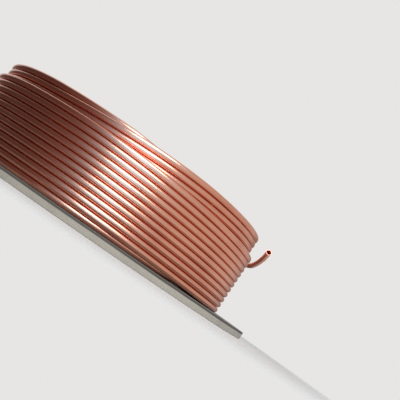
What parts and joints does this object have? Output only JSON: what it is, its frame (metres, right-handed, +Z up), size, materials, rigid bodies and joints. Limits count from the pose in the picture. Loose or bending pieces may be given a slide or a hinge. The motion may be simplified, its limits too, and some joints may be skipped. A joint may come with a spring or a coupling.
{
  "type": "copper tube coil on an end board",
  "caption": "Layer-wound coil of bare round tube with a free end, lying on a flat ring-shaped end board.",
  "frame": {"origin": "on the floor at the centre of the end board", "axes": "+Z up along the coil's axis; the tube's free end stands off on the +X side and its mouth faces -Y"},
  "size_m": [1.0099, 1.01, 0.2493],
  "materials": {
    "copper_tube": "bright drawn copper with light handling marks",
    "fibreboard": "matte, pale and slightly soiled"
  },
  "bodies": {
    "root": {"tube_coil": "copper_tube", "end_board": "fibreboard"}
  },
  "joints": []
}
